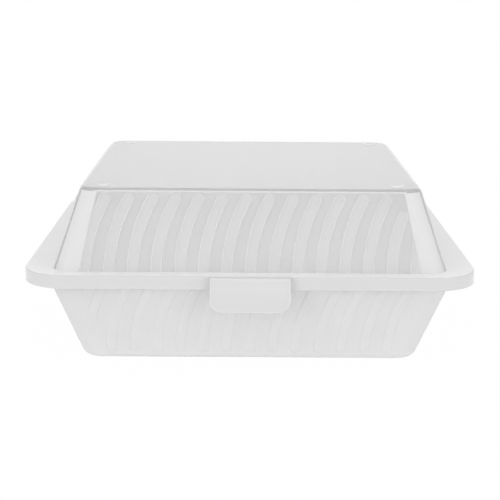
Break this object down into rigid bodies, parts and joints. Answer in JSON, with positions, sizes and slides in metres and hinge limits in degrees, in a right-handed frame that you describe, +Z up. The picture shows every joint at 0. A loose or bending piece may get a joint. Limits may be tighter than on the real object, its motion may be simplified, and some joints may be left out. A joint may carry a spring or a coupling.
{
  "type": "reusable takeout container",
  "caption": "Square hinged takeout box in milky see-through plastic, with flared walls of curved ribs, a domed lid, a wide rim and a front snap tab.",
  "frame": {"origin": "under the middle of the box, on the surface that it stands on", "axes": "+X to the right seen from the front, +Y to the hinge at the back, +Z up"},
  "size_m": [0.2286, 0.2286, 0.09],
  "materials": {
    "frosted_polypropylene": "moulded, milky and see-through, satin"
  },
  "bodies": {
    "base": {"base": "frosted_polypropylene"},
    "lid": {"lid": "frosted_polypropylene"}
  },
  "joints": [
    {"name": "lid_hinge", "type": "hinge", "parent": "base", "child": "lid", "pos_m": [0, 0.1143, 0.04765], "axis": [-1, 0, 0], "range_deg": [0, 180]}
  ]
}
